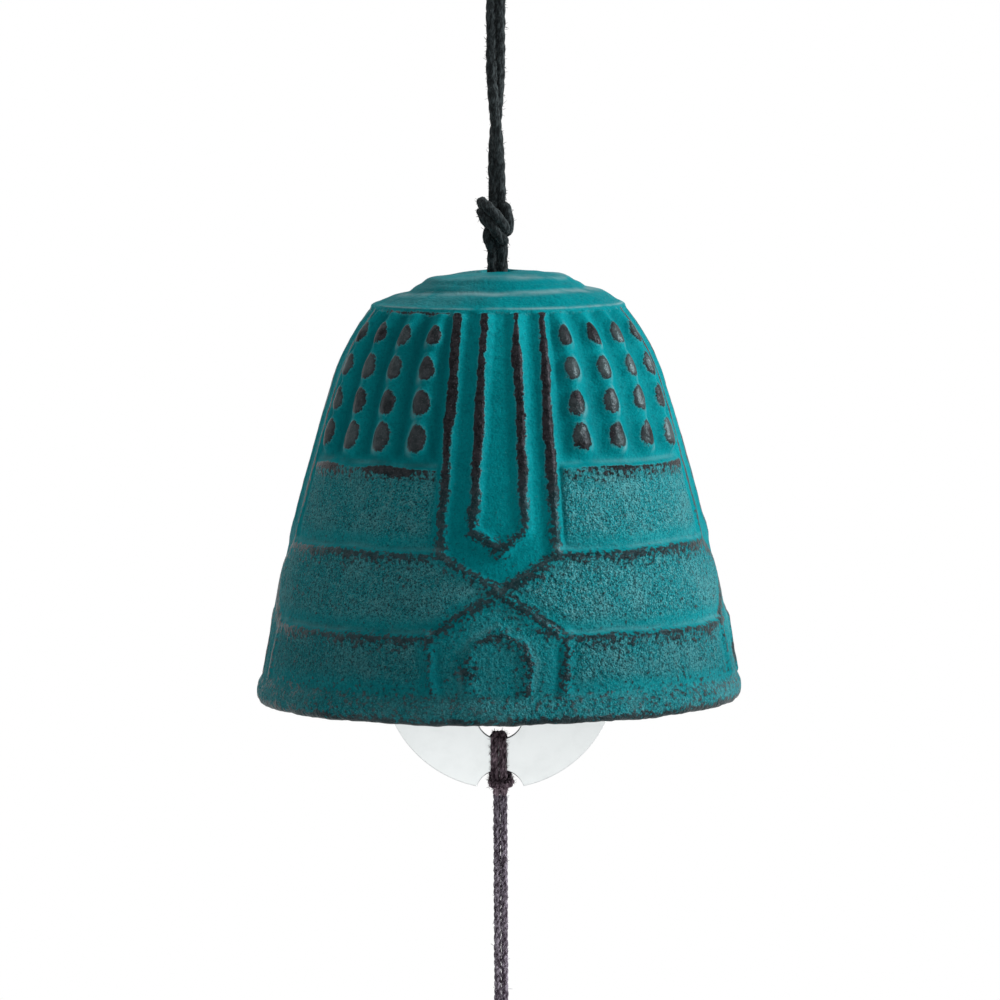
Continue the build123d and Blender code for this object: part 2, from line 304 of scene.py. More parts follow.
def washi():
    """Handmade paper: long pale fibres in a cream sheet."""
    material, tree, shader = new_material("washi")
    place = place_of(tree)
    bend = node(tree, "TexNoise", {"Vector": place, "Scale": 90, "Detail": 2.0}).outputs["Color"]
    drift = node(tree, "VectorMath", {0: bend, 1: (0.012, 0.012, 0.012)}, operation="MULTIPLY")
    moved = node(tree, "VectorMath", {0: place, 1: drift.outputs[0]}, operation="ADD").outputs[0]
    fibres = node(tree, "TexVoronoi", {"Vector": moved, "Scale": 260}, feature="DISTANCE_TO_EDGE")
    threads = between(tree, fibres.outputs["Distance"], 0.0, 0.07, 1.0, 0.0)
    cloud = grain(tree, place, 120, 4.0)
    sheet = dapple(tree, (0.78, 0.74, 0.64, 1), (0.87, 0.84, 0.76, 1), cloud, 0.3, 0.75)
    color = mix(tree, sums(tree, "MULTIPLY", threads, 0.55), sheet, (0.93, 0.91, 0.86, 1))
    tree.links.new(color, shader.inputs["Base Color"])
    shader.inputs["Roughness"].default_value = 0.85
    shader.inputs["Specular IOR Level"].default_value = 0.2
    bump(tree, shader, sums(tree, "ADD", threads, cloud), 0.35, 0.00015)
    return material


paint = bell_paint()
black = cotton("black_cotton", (0.0094, 0.0127, 0.0142, 1), (0.0807, 0.1008, 0.1063, 1), 2600)
plum = cotton("plum_cotton", (0.0532, 0.0355, 0.0545, 1), (0.5444, 0.4851, 0.5798, 1), 3000)
# A darker copy of the plum cotton for the hitches: partly painted shade, partly their denser fuzz
shaded_fuzzy_plum = cotton("shaded_fuzzy_plum_cotton", (0.0301, 0.015, 0.0237, 1), (0.4841, 0.3658, 0.4303, 1), 2800)
plate = satin_metal("satin_plate", (0.85, 0.885, 0.885, 1), (0.8, 0.835, 0.835, 1), 0.3)
steel = satin_metal("washer_steel", (0.5, 0.5, 0.5, 1), (0.3, 0.29, 0.28, 1), 0.35)
paper = washi()


# Bell: a turned section with its relief raised on the wall, its levels counted from the rim
upper_rib = 35.1
middle_rib = 23.5
lower_rib = 12.0
wall_foot = 2
# Bosses: the level and the size of each row, and the degrees from one column to the next
boss_rows = np.array([52.9, 48.5, 43.9, 39.0])
boss_sizes = np.array([0.84, 0.95, 1.03, 1.14])
boss_pitch = 12.9
# Right half of each edge, as places across the band and levels, from the foot up
band_edge = [(9.1, wall_foot), (9.7, 11.8), (0, 18.6), (8.1, 23.1), (5.6, 58)]
tongue_edge = [(0, 23.9), (3.6, 26.5), (2.1, 58)]
gable_edge = [(9.9, 11.7), (0, 18.4)]
arch_edge = [(4.2, wall_foot), (5.0, 8.3), (3.8, 11.1), (0, 13.3)]


def flat_arc(start, end, bulge):
    """Points of a flat arc that bulges to the right of its run."""
    start, end = np.array(start), np.array(end)
    run = end - start
    side = np.array([run[1], -run[0]]) / np.linalg.norm(run)
    step = np.linspace(0, 1, 60)[:, None]
    return (start + run * step + side * 4 * bulge * step * (1 - step)).tolist()


def line_distance(x, z, route):
    """Distance from each place on the wall to a line of straight runs."""
    nearest = np.full(x.shape, 1e3)
    for (x0, z0), (x1, z1) in zip(route, route[1:]):
        dx, dz = x1 - x0, z1 - z0
        step = np.clip(((x - x0) * dx + (z - z0) * dz) / (dx * dx + dz * dz), 0, 1)
        nearest = np.minimum(nearest, np.hypot(x - x0 - step * dx, z - z0 - step * dz))
    return nearest


def width_at(z, edge):
    """Half width of a shape at each level, from the points of its edge."""
    places, levels = zip(*edge)
    return np.interp(z, levels, places)


def sideways(points, low, high):
    """0 on the front and the back of the bell, and a smooth rise to 1 at its two sides."""
    return ease(np.abs(points[..., 0]) / np.hypot(points[..., 0], points[..., 1]), low, high)


def ridge_relief(x, z, ragged, patchy, aside):
    """Upright ridges: height and wear of the band's edges, its tongue and the sides of its gable."""
    ridges = [band_edge[:2], band_edge[3:], tongue_edge]
    to_ridge = np.min([line_distance(x, z, ridge) for ridge in ridges], axis=0)
    height = 0.76 * (1 - ease(to_ridge, 0.05, 1.7))
    thick = np.interp(z, [24, 42, 57], [1.5, 1.35, 0.9])
    crisp = np.interp(z, [20, 30], [1.0, 1.8])
    side_loss = np.interp(z, [12, 30], [0.15, 0.45]) * aside
    rubbed = 0.5 + crisp * (0.5 - (to_ridge + ragged) / thick + 0.12 * patchy) - side_loss
    # The tongue's tip and the crossing under it are rubbed too
    to_tip = np.hypot(x, z - 24.4)
    to_cross = line_distance(x, z, [(9.8, 11.8), (0, 18.7), (8.1, 23.4)])
    crossing = 1.05 - (to_cross + 0.5 * ragged) / 0.95
    return height, np.max([rubbed, 1.25 - to_tip / 1.6, crossing], axis=0)


def panel_relief(x, z, ragged, patchy):
    """Panels under an edge: height, wear and sand, and a painted highlight along the ledge above the edge.

    Each panel stands out under its edge, is rubbed along it, and sinks to a smooth foot.
    """
    to_band = line_distance(x, z, band_edge)
    beyond = np.where(x > width_at(z, band_edge), to_band, -to_band)
    beside = ease(beyond, -0.9, 0.1)
    gable = ease(0.4 - beyond, 0, 0.6) * (z < 18.8)
    far = 45
    upper_edge = [(far, upper_rib), (0, upper_rib)]
    middle_edge = [(far, middle_rib), (8.1, middle_rib), (0, 18.9)]
    lower_edge = [(far, lower_rib), (9.9, lower_rib)]
    gable_top, arch_top = gable_edge[-1][1], arch_edge[-1][1]
    # Each panel's edge, the places under it, the level of its foot, and how far it reaches across
    panels = [
        (upper_edge, z < upper_rib, 23.6, ease(beyond, 0.9, 1.7)),
        (middle_edge, (beyond > 0) & (z < middle_rib), lower_rib, beside),
        (lower_edge, (beyond > -0.5) & (z < lower_rib), 3.6, beside),
        (gable_edge, (beyond < 0) & (z < gable_top), wall_foot, gable),
        (arch_edge, (x < width_at(z, arch_edge)) & (z < arch_top), wall_foot, 1),
    ]
    strong = np.interp(z, [11, 22], [0.92, 1.0])
    broken = np.interp(z, [28, 33], [0.2, 0.55]) * patchy
    soft = np.interp(z, [20, 34], [0.48, 0.6]) + 0.1 * patchy
    height, rubbed, sandy, brows = np.zeros((4, *z.shape))
    for edge, within, foot, share in panels:
        rise = z - foot
        below = line_distance(x, z, edge)
        below = np.where(within, below, -below)
        out = ease(below, -0.6, 0.3) * ease(rise, 0.1, 2.4) * share
        height = np.maximum(height, out * (0.3 + 0.4 * (1 - ease(below, 0.4, 2.8))))
        line = np.minimum((below + 0.25) / 0.6, strong - (below - 0.5 + ragged) / 1.75) + broken
        fade = soft * ease(below, 0.1, 0.7) * (1 - ease(below, 0.9, 4.0))
        clear = share * ease(rise, 0.5, 2)
        rubbed = np.maximum(rubbed, clear * np.maximum(line, fade))
        # Painted highlight: a pale line along the ledge above the edge, where light from above would fall
        brows = np.maximum(brows, clear * peak(below, -0.5, 0.32))
        smooth_foot = ease(rise, 0.2, 0.8) * (0.28 + 0.72 * ease(rise, 1.2, 3.2))
        sandy = np.maximum(sandy, share * ease(below, 0.0, 1.2) * smooth_foot)
    # There is less sand along the band's edge and on the gable
    sandy = sandy * (0.35 + 0.65 * ease(np.abs(beyond), 0.9, 2.4))
    sandy = sandy * (1 - 0.55 * ease(0.4 - beyond, 0, 0.8) * ease(18.8 - z, 0, 0.6))
    rubbed = np.maximum(rubbed, sandy * np.interp(z, [8, 36], [0.14, 0.06]))
    return height, rubbed, sandy, brows


def boss_relief(turn, z, radius, points, patchy):
    """Oval bosses on soft pads between the bands: height, wear, painted highlights and painted shade in the
    valleys.
    """
    panel = np.degrees(turn) % 90 - 45
    first = boss_pitch / 2
    column = np.clip(np.round((panel - first) / boss_pitch), -2, 1) * boss_pitch + first
    row = np.abs(z[..., None] - boss_rows).argmin(axis=-1)
    size = boss_sizes[row]
    up = (z - boss_rows[row]) / (1.85 * size)
    across = radius * np.radians(panel - column) / (1.35 * size) * (1 + 0.2 * up)
    oval = np.hypot(across, up) + 0.1 * noise(points, 1.6, 24)
    field = ease(z, 35.7, 37.2) * ease(57.4 - z, 0.3, 1.8) * ease(28 - np.abs(panel), 0, 4)
    swell = 0.5 + 0.5 * np.cos(np.radians(panel - first) * 360 / boss_pitch)
    height = field * (0.8 * swell + 0.56 * (1 - ease(oval, 0.4, 1.7)))
    rubbed = field * (2.2 - 1.85 * oval + 0.14 * patchy)
    # Painted highlights: pale paint on the outer side of each boss, where grazing light catches its rim, and
    # a little on its top, most on the right and towards the sides
    right = points[..., 0] / radius
    away = sideways(points, 0.3, 0.85)
    outward = -np.sign(points[..., 0] * points[..., 1]) * across
    lit_rims = peak(oval, 1.05, 0.2) * ease(outward, 0.0, 0.7) * (0.22 + 0.28 * away)
    lit_tops = (1 - ease(oval, 0.6, 1.0)) * (0.02 + 0.05 * ease(right, 0, 0.3) + 0.04 * away)
    # Painted shade: darker paint in the valleys between the pads, stronger on the left
    valley_shade = (1 - swell) ** 2 * ease(oval, 0.9, 1.3) * (0.42 - 0.2 * np.sign(right))
    return height, rubbed, field * np.maximum(lit_rims, lit_tops), field * valley_shade


def wall_relief(turn, level, radius, points):
    """Height of the relief in millimetres, how rubbed and sandy its paint is, and its painted highlights and
    painted valley shade.
    """
    # The relief leans a little by its level, and its edges waver
    levels = [2, 11, 18.6, 22, 26, 34.5, 39.6, 50, 57]
    lean = [-0.4, -0.4, 0.1, -0.2, -0.3, 0.2, 0.35, 0.45, 0.8]
    turn = turn - np.radians(np.interp(level, levels, lean))
    across = radius * np.sin(turn) + 0.2 * noise(points, 4, 11) + 0.08 * noise(points, 1.1, 12)
    x = np.abs(across)
    z = level + 0.2 * noise(points, 4, 13) + 0.08 * noise(points, 1.1, 14)
    patchy = noise(points, 5, 21)
    ragged = 0.25 * noise(points, 2.2, 22) + 0.12 * noise(points, 0.9, 25)
    aside = sideways(points, 0.86, 0.98)
    ridge_height, ridge_wear = ridge_relief(x, z, ragged, patchy, aside)
    panel_height, panel_wear, sandy, brows = panel_relief(x, z, ragged, patchy)
    boss_height, boss_wear, boss_highlight, valley_shade = boss_relief(turn, z, radius, points, patchy)
    # The paint has kept better low on one side of the gable and its arch, but for two spots
    kept = ease(-across, 0.5, 3.0) * ease(14 - z, 1.0, 3.5) * (x < 12)
    rubbed = np.maximum(ridge_wear, panel_wear) - 0.32 * kept
    for spot_x, spot_z, strength, size in ((-4.4, 7.0, 1.15, 2.0), (0.2, 12.0, 1.1, 2.2)):
        to_spot = np.hypot(across - spot_x, z - spot_z) + 2 * ragged
        rubbed = np.maximum(rubbed, strength - to_spot / size)
    rubbed = np.maximum(rubbed, boss_wear)
    # The relief is shallow at the two sides, but less so low on the right
    stepped = (points[..., 0] > 0) * ease(12.6 - z, 0, 0.8)
    height = np.maximum(ridge_height, panel_height) * (1 - (0.72 - 0.5 * stepped) * aside)
    height = np.maximum(height, boss_height)
    # Painted highlights: the bosses' pale rims and tops, and pale lines along the ledges, stronger towards
    # the sides
    wall_highlight = np.maximum(boss_highlight, (0.1 + 0.08 * sideways(points, 0.3, 0.85)) * brows)
    return height, np.clip(rubbed, 0, 1.4), sandy, wall_highlight, valley_shade


def bell_section():
    """Section of the bell from the rim up the outside and down the inside, row by row.

    Gives each row's radius, its level, the two parts of its outward direction, and whether it lies outside.
    """
    outside = [(32.2, 0.0), (34.1, 0.0), (34.65, 0.2), (34.95, 0.75), (35.0, 1.6), (34.88, 2.5), (34.6, 3.1)]
    outside += flat_arc((34.25, 3.7), (24.2, 44.7), 0.7) + flat_arc((24.2, 44.7), (18.2, 56.3), 0.7)
    outside += [(18.4, 56.75), (17.9, 57.1), (17.1, 57.45), (16.2, 58.1), (15.1, 58.7), (13.5, 59.05)]
    outside += [(12.6, 59.2), (12.3, 59.5), (11.8, 59.9), (10.9, 60.3), (10.2, 60.9), (9.4, 61.1)]
    outside += [(6.0, 61.5), (2.95, 61.7), (2.55, 61.45)]
    inside = [(2.5, 58.0), (2.8, 57.7), (8.7, 57.7), (14.4, 54.4)]
    inside += flat_arc((14.4, 54.4), (21.2, 44.7), -0.5) + flat_arc((21.2, 44.7), (31.2, 0.8), -0.5)
    inside += [(31.4, 0.3), (31.8, 0.0)]
    corners = np.array(outside + inside + outside[:1])
    reach = reach_along(corners)
    turn_in = reach[len(outside)]
    # The corners are rounded by a weighted mean along closely spaced points
    step, rounding, span = 0.05, 0.2, 16
    dense = np.arange(0, reach[-1], step)
    section = np.stack([np.interp(dense, reach, corners[:, axis]) for axis in (0, 1)], axis=1)
    kernel = np.exp(-(np.arange(-span, span + 1) * step / rounding) ** 2 / 2)
    wrapped = np.concatenate([section[-span:], section, section[:span]])
    smooth = [np.convolve(wrapped[:, axis], kernel / kernel.sum(), "valid") for axis in (0, 1)]
    outside_rows = np.arange(0, turn_in, 0.29)
    inside_rows = np.arange(turn_in + 0.6, reach[-1] - 0.2, 1.1)
    rows = np.concatenate([outside_rows, inside_rows])
    radius, level = [np.interp(rows, dense, values) for values in smooth]
    slope_r, slope_z = [np.interp(rows, dense, np.gradient(values)) for values in smooth]
    length = np.hypot(slope_r, slope_z)
    return radius, level, slope_z / length, -slope_r / length, rows < turn_in


def make_bell():
    radius, level, normal_r, normal_z, outer = [values[:, None] for values in bell_section()]
    columns = 720
    angle = np.linspace(0, 2 * math.pi, columns, endpoint=False)
    turn = (angle + 0.75 * math.pi) % (math.pi / 2) - math.pi / 4
    radius, level, outer, angle, turn = np.broadcast_arrays(radius, level, outer, angle, turn)
    points = np.stack([radius * np.cos(angle), radius * np.sin(angle), level], axis=-1)
    left = -points[..., 0] / radius
    wall = outer * ease(level, 3.2, 4.4) * ease(56.7 - level, 0, 0.25)
    lip = outer * (1 - ease(level, 3.0, 4.6))
    crown = outer * ease(level, 56.6, 58)
    height, rubbed, sandy, wall_highlight, valley_shade = wall_relief(turn, level, radius, points)
    sandy = sandy * wall + 0.7 * lip
    # Wear low on the wall and along the lip, and round the shoulder a dark band under the bead, partly wear
    # and partly painted shade, stronger on the left
    low = 0.36 * (1 - ease(level, 2, 9))
    edge = 1 - ease(level + 0.3 * noise(points, 1.6, 26), 0.3, 1.4)
    worn_lip = 0.3 + 0.12 * peak(level, 3.2, 0.9) + 0.85 * edge + 0.1 * noise(points, 5, 23)
    rubbed = np.maximum(rubbed, low) * wall + lip * np.clip(worn_lip, 0, 1.2)
    bead_shade_and_wear = 0.3 + 0.38 * ease(left, 0.25, 0.45) * (1 - ease(left, 0.8, 0.95))
    shoulder = peak(level + 0.2 * noise(points, 3, 27), 56.3, 0.45)
    rubbed = np.maximum(rubbed, outer * bead_shade_and_wear * shoulder)
    # Lumps of the casting, stronger where it is rough and on the crown
    rough = np.maximum(sandy, rubbed)
    lumps = 0.12 * noise(points, 9, 31) + 0.07 * noise(points, 3.4, 32) * (0.4 + 0.6 * rough)
    lumps += rough * (0.06 * noise(points * (1, 1, 0.45), 1.1, 33) + 0.045 * noise(points, 0.6, 34))
    lumps += lip * 0.05 * noise(points, 2.4, 35)
    lumps += crown * (0.17 * noise(points, 4.5, 36) + 0.06 * noise(points, 1.8, 37))
    # On the left the rim is a little wider and lower, and the crown a little lower
    uneven = (1 - np.cos(angle)) * (1 - ease(level, 0.5, 6))
    settled = 0.09 * uneven + 0.045 * np.maximum(-points[..., 0], 0) * ease(level, 56.9, 58.8)
    height = height * wall + outer * (lumps + 0.13 * uneven)
    out = height * normal_r
    lift = height * normal_z + rim - settled
    placed = points + np.stack([out * np.cos(angle), out * np.sin(angle), lift], axis=-1)
    bell = add_mesh("bell", placed.reshape(-1, 3), grid_faces(len(points), columns, True), paint)
    # Painted shade low down, darker paint near the lip and on the crown, painted highlights on the crown's
    # edges, and grainier wear low down
    paint_darkening = 0.3 * (1 - ease(level, -6, 28)) + 0.14 * peak(level, 7.5, 3) + 0.16 * ease(level, 56.8, 57.6)
    # Painted highlights: pale lines along the crown's ring, the shoulder's bead and the top edge, and a
    # paler left side of the crown
    wavy = level + 0.22 * noise(points, 4, 38)
    ring = 0.55 * peak(wavy, 59.1, 0.24) * ease(radius, 12.0, 12.6)
    bead = 0.6 * peak(level, 57.05, 0.11)
    top_edge = 0.5 * peak(wavy, 60.95, 0.28) * ease(noise(points, 7, 39), -0.3, 0.5)
    crown_left_sheen = 0.09 * crown * ease(left, -0.1, 0.5)
    pale = np.max([ring, bead, top_edge + crown_left_sheen, 0.05 * lip + wall_highlight * wall], axis=0)
    # The rubbed values also carry the dark band under the shoulder's bead, which is partly painted shade
    set_values(bell, "rubbed", rubbed)
    set_values(bell, "sandy", sandy)
    set_values(bell, "inside", 1 - outer)
    set_values(bell, "grainy", 2.4 * (1 - 0.85 * ease(level, 22, 40)))
    set_values(bell, "paint_darkening", paint_darkening + valley_shade * wall)
    set_values(bell, "painted_highlight", outer * pale)
    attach(bell, "bell")
    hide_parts("bell_shell")


make_bell()


# Cords and threads: plied strands that follow a smooth route
def frames_along(path):
    """Run of a path, and two directions across it that don't twist."""
    run = np.gradient(path, axis=0)
    run /= np.linalg.norm(run, axis=1)[:, None]
    side = np.cross(run[0], (0.31, 0.9, 0.29))
    sides = []
    for direction in run:
        side = side - direction * side.dot(direction)
        side = side / np.linalg.norm(side)
        sides.append(side)
    sides = np.array(sides)
    return run, sides, np.cross(run, sides)


def tube(path, radius, sides):
    """A closed round tube along a path, with a radius for each point."""
    _, across, up = frames_along(path)
    angle = np.linspace(0, 2 * math.pi, sides, endpoint=False)[None, :, None]
    ring = across[:, None, :] * np.cos(angle) + up[:, None, :] * np.sin(angle)
    points = path[:, None, :] + ring * np.broadcast_to(radius, len(path))[:, None, None]
    faces = grid_faces(len(path), sides)
    last = (len(path) - 1) * sides
    faces.append(list(range(sides))[::-1])
    faces.append(list(range(last, last + sides)))
    return points.reshape(-1, 3), faces


def plied(path, radius, plies, pitch, fill, seed):
    """Tubes of the plies that twist round each other in one strand."""
    _, across, up = frames_along(path)
    reach = reach_along(path)
    ends = np.minimum(reach, reach[-1] - reach)
    made = []
    for ply in range(plies):
        angle = 2 * math.pi * (reach / pitch + ply / plies) + 0.5 * noise(path, 3, seed)
        arm = radius * (1 - fill) * (1 + 0.08 * noise(path, 1.3, seed + 1))
        line = path + arm[:, None] * (across * np.cos(angle)[:, None] + up * np.sin(angle)[:, None])
        thick = radius * fill * (1 + 0.1 * noise(line, 0.9, seed + 2 + ply))
        made.append(tube(line, thick * (0.75 + 0.25 * ease(ends, 0, 0.4)), sides=9))
    return made


def fuzz(paths, radius, count, length, seed):
    """Loose fibre ends that stand off the strands."""
    picks = np.random.default_rng(seed)
    hair_radii = np.array([0.036, 0.033, 0.03, 0.026, 0.016])
    made = []
    for _ in range(count):
        path = paths[picks.integers(len(paths))]
        spot = picks.integers(2, len(path) - 2)
        run = path[spot + 1] - path[spot - 1]
        run /= np.linalg.norm(run)
        out = np.cross(run, picks.normal(size=3))
        out /= np.linalg.norm(out)
        lean = out * picks.uniform(0.4, 1.0) + run * picks.uniform(-0.9, 0.9)
        curl = picks.normal(size=3) * 0.35
        step = np.linspace(0, 1, len(hair_radii))[:, None]
        reach = length * picks.uniform(0.4, 1.0)
        hair = path[spot] + out * radius * 0.9 + reach * (lean * step + curl * step * step)
        made.append(tube(hair, hair_radii, sides=3))
    return made


def join_piece(name, parts, material, body, node_name):
    """One piece from several tubes, on a body, or left in place and tied to neither when it spans two of
    them.
    """
    points = []
    faces = []
    start = 0
    for part_points, part_faces in parts:
        points.append(part_points)
        faces += [[corner + start for corner in face] for face in part_faces]
        start += len(part_points)
    piece = add_mesh(name, np.concatenate(points), faces, material)
    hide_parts(node_name)
    if isinstance(body, str):
        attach(piece, body)
    else:
        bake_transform(piece)
    return piece


def strands(paths, seed, hairs, radius, pitch, fill):
    """Strands of three plies each, with their fuzz."""
    parts = []
    for count, path in enumerate(paths):
        parts += plied(path, radius, 3, pitch, fill, seed + 10 * count)
    return parts + fuzz(paths, radius, hairs, 0.5, seed)


def cord_strands(paths, seed, hairs):
    """Soft black cord, with plump plies."""
    return strands(paths, seed, hairs, radius=0.82, pitch=5.5, fill=0.74)


def thread_strands(paths, seed, hairs, radius=0.54):
    """Plum thread, with a shorter twist."""
    return strands(paths, seed, hairs, radius, pitch=3.3, fill=0.58)


def doubled(path, half, angle=0.0):
    """Two strands beside each other on an upright path, turned by an angle about it."""
    angle = np.broadcast_to(angle, len(path))
    side = np.stack([np.cos(angle), np.sin(angle), np.zeros_like(angle)], axis=1) * half
    return [path + side, path - side]


def knot_strands(top, width, height, half, lean=0.0):
    """Two strands beside each other through an overhand knot that hangs from a level."""
    turns = [(0, 0.1, 0), (0.2, 0.15, -0.24), (1.0, 0.05, -0.38), (1.05, 0.35, -0.68), (0, 0.95, -0.6)]
    turns += [(-0.8, 0.6, -0.34), (-1.1, -0.05, -0.2), (-0.8, -0.8, -0.27), (0.1, -1.05, -0.52)]
    turns += [(0.7, -0.6, -0.8), (0.6, 0.45, -0.86), (-0.3, 0.45, -0.76), (-0.2, -0.2, -0.9)]
    turns += [(0, 0, -1.05), (0, 0, -1.2)]
    reach = width / 2 - half
    route = [(0, 0, top + 1.2)] + [(x * reach, y * reach, top + z * height) for x, y, z in turns]
    route[2:-2] = [(x - lean, y, z) for x, y, z in route[2:-2]]
    path = route_points(route)
    run, _, _ = frames_along(path)
    away = path * (1, 1, 0)
    near = peak(np.linalg.norm(away, axis=1), 0, 0.45 * reach)
    away = away + near[:, None] * np.array([0, 1.5 * reach, 0])
    side = np.cross(run, away)
    side /= np.linalg.norm(side, axis=1)[:, None]
    spread = half * (0.66 + 0.34 * ease(reach_along(path), 1.2, 4.0))[:, None]
    return [path + side * spread, path - side * spread]


# Black cord: the eye on the hook, the doubled cord, its knot, and the cord through the crown
loop_route = [(-0.8, 0, -12), (-3.8, 0, -4), (-3.8, 0, 0.8), (3.8, 0, 0.8), (3.8, 0, -4), (0.8, 0, -12)]
loop_path = route_points(loop_route)
loop_parts = cord_strands([loop_path], seed=100, hairs=240)
loop = join_piece("loop_cord", loop_parts, black, "hook_loop", "hanging_loop")

hang_path = route_points([(0, 0, -12.1), (-0.3, 0, -28), (0, 0, -44.3)])
turned = math.pi * ease(np.clip((-hang_path[:, 2] - 14) / 29, 0, 1) ** 1.7, 0, 1)
snug = 0.6 - 0.14 * ease(-hang_path[:, 2:], 26, 40)
hang_parts = cord_strands(doubled(hang_path, snug, turned), seed=200, hairs=700)
hang = join_piece("hang_cord", hang_parts, black, "cord", "hanging_cord")

knot_paths = knot_strands(upper_knot_top, width=5.0, height=7.0, half=0.7, lean=0.4)
knot_parts = cord_strands(knot_paths, seed=300, hairs=420)
join_piece("upper_knot_cord", knot_parts, black, "cord", "upper_knot")

crown_path = route_points([(0, 0, -50.2), (0, 0, -54), (0, 0, -60)])
crown_parts = cord_strands(doubled(crown_path, 0.7), seed=400, hairs=200)
crown_bend = ("cord", "bell", (0, 0, -0.0510), (0, 0, -0.0542))
join_piece("crown_cord_pair", crown_parts, black, crown_bend, "crown_cord")

stop_paths = knot_strands(washer_foot, width=5.8, height=4.4, half=0.7)
stop_parts = cord_strands(stop_paths, seed=500, hairs=120)
join_piece("stop_knot_cord", stop_parts, black, "bell", "stop_knot")


# Plum thread: its knot under the bell's stop, the pair to the clapper, the hitches, and the wind thread
def hitch_path(side):
    """One thread hitched round a web: up its face, over into the hole, and back to a bight in front."""
    half = [(0.5, -0.35, -17.9), (0.52, -0.75, -16.6), (0.6, -1.2, -14.2), (0.62, -1.17, -11.6)]
    half += [(0.6, -1.2, -10.0), (0.32, -0.1, -8.9), (0.74, 1.15, -9.6), (0.95, 1.17, -12)]
    half += [(1.1, 1.15, -14.4), (1.3, 0.5, -15.8), (1.55, -1.0, -15.9), (1.0, -2.0, -16.4)]
    route = half + [(-x * (0.8 if x > 1 else 1), y, z) for x, y, z in half[::-1]]
    route = [(x - 0.2 * float(ease(z, -16, -14)), y, z) for x, y, z in route]
    return route_points([(x, y, disc_center - side * z) for x, y, z in route], 0.15)


line_paths = knot_strands(line_knot_top, width=3.5, height=3.0, half=0.48)
line_parts = thread_strands(line_paths, seed=600, hairs=12)
join_piece("line_knot_thread", line_parts, plum, "clapper_line", "line_knot")

pair_path = route_points([(0, 0, -66.6), (0, 0, -81), (0, -0.1, -93), (0, -0.35, -94.9)])
pair_parts = thread_strands(doubled(pair_path, 0.52), seed=700, hairs=120)
pair_bend = ("clapper_line", "clapper", (0, 0, -0.0670), (0, 0, -0.0702))
join_piece("clapper_thread_pair", pair_parts, plum, pair_bend, "clapper_thread")

hitch_radius = 0.62
upper_parts = thread_strands([hitch_path(1)], seed=800, hairs=200, radius=hitch_radius)
join_piece("upper_hitch_thread", upper_parts, shaded_fuzzy_plum, "clapper", "upper_hitch")
lower_parts = thread_strands([hitch_path(-1)], seed=900, hairs=700, radius=hitch_radius)
join_piece("lower_hitch_thread", lower_parts, shaded_fuzzy_plum, "clapper", "lower_hitch")

wind_path = route_points([(0, -0.35, -130.3), (0, -0.1, -132.4), (0, 0, -147), (0, 0, -163.3)])
wind_parts = thread_strands(doubled(wind_path, 0.507), seed=1000, hairs=160)
wind_bend = ("clapper", "wind_line", (0, 0, -0.1298), (0, 0, -0.1330))
wind = join_piece("wind_thread_pair", wind_parts, plum, wind_bend, "wind_thread")

strip_paths = knot_strands(strip_knot_top, width=2.9, height=2.6, half=0.46)
strip_parts = thread_strands(strip_paths, seed=1100, hairs=12)
join_piece("strip_knot_thread", strip_parts, plum, "strip_hanger", "strip_knot")

neck = [(-0.6, 0), (-0.6, -0.8), (-2.2, -2.8), (-2.2, -7.0)]
neck += [(2.2, -7.0), (2.2, -2.8), (0.6, -0.8), (0.6, 0)]
eye_path = route_points([(0, y, strip_knot_foot + z) for y, z in neck], 0.15)
eye_parts = thread_strands([eye_path], seed=1200, hairs=8)
join_piece("strip_loop_thread", eye_parts, plum, "strip_hanger", "strip_loop")


# Clapper: a stamped plate with two thread holes and two edge notches
def flat_outline(curve, points):
    """Add a closed outline in millimetres to a flat curve."""
    line = curve.splines.new("POLY")
    line.points.add(len(points) - 1)
    for point, (x, y) in zip(line.points, points):
        point.co = (x / 1000, y / 1000, 0, 1)
    line.use_cyclic_u = True


def round_points(x, y, radius, start, end, count):
    """Points of an arc from one angle to another."""
    angle = np.linspace(start, end, count)
    return np.stack([x + radius * np.cos(angle), y + radius * np.sin(angle)], axis=1).tolist()


def make_clapper():
    curve = bpy.data.curves.new("plate", "CURVE")
    curve.dimensions = "2D"
    curve.fill_mode = "BOTH"
    half_thick, rounding = 0.5, 0.14
    curve.bevel_depth = rounding / 1000
    curve.bevel_resolution = 3
    curve.offset = -rounding / 1000
    curve.extrude = (half_thick - rounding) / 1000
    radius, notch, offset = 17.0, 3.6, 17.9
    hole_radius, hole_offset = 3.35, 6.4
    corner = (radius**2 - notch**2 + offset**2) / 2 / offset
    meet = math.asin(corner / radius)
    cut = math.acos((offset - corner) / notch)
    right = round_points(0, 0, radius, -meet, meet, 120)
    upper = round_points(0, offset, notch, -math.pi / 2 + cut, -math.pi / 2 - cut, 40)
    half = right[:-1] + upper[:-1]
    flat_outline(curve, half + [(-x, -y) for x, y in half])
    for side in (-1, 1):
        flat_outline(curve, round_points(0, hole_offset * side, hole_radius, 0, 2 * math.pi, 73)[:-1])
    holder = bpy.data.objects.new("plate", curve)
    mesh = bpy.data.meshes.new_from_object(holder)
    bpy.data.objects.remove(holder)
    for vertex in mesh.vertices:
        x, y, z = vertex.co
        vertex.co = (x, -z, y + disc_center / 1000)
    mesh.shade_smooth()
    mesh.set_sharp_from_angle(angle=math.radians(25))
    mesh.materials.clear()
    disc = link_piece("clapper_plate", mesh, plate)
    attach(disc, "clapper")
    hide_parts("clapper_disc")


make_clapper()

# The washer keeps its solid and gets a steel surface
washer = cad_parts["crown_washer"].data
washer.materials.clear()
washer.materials.append(steel)


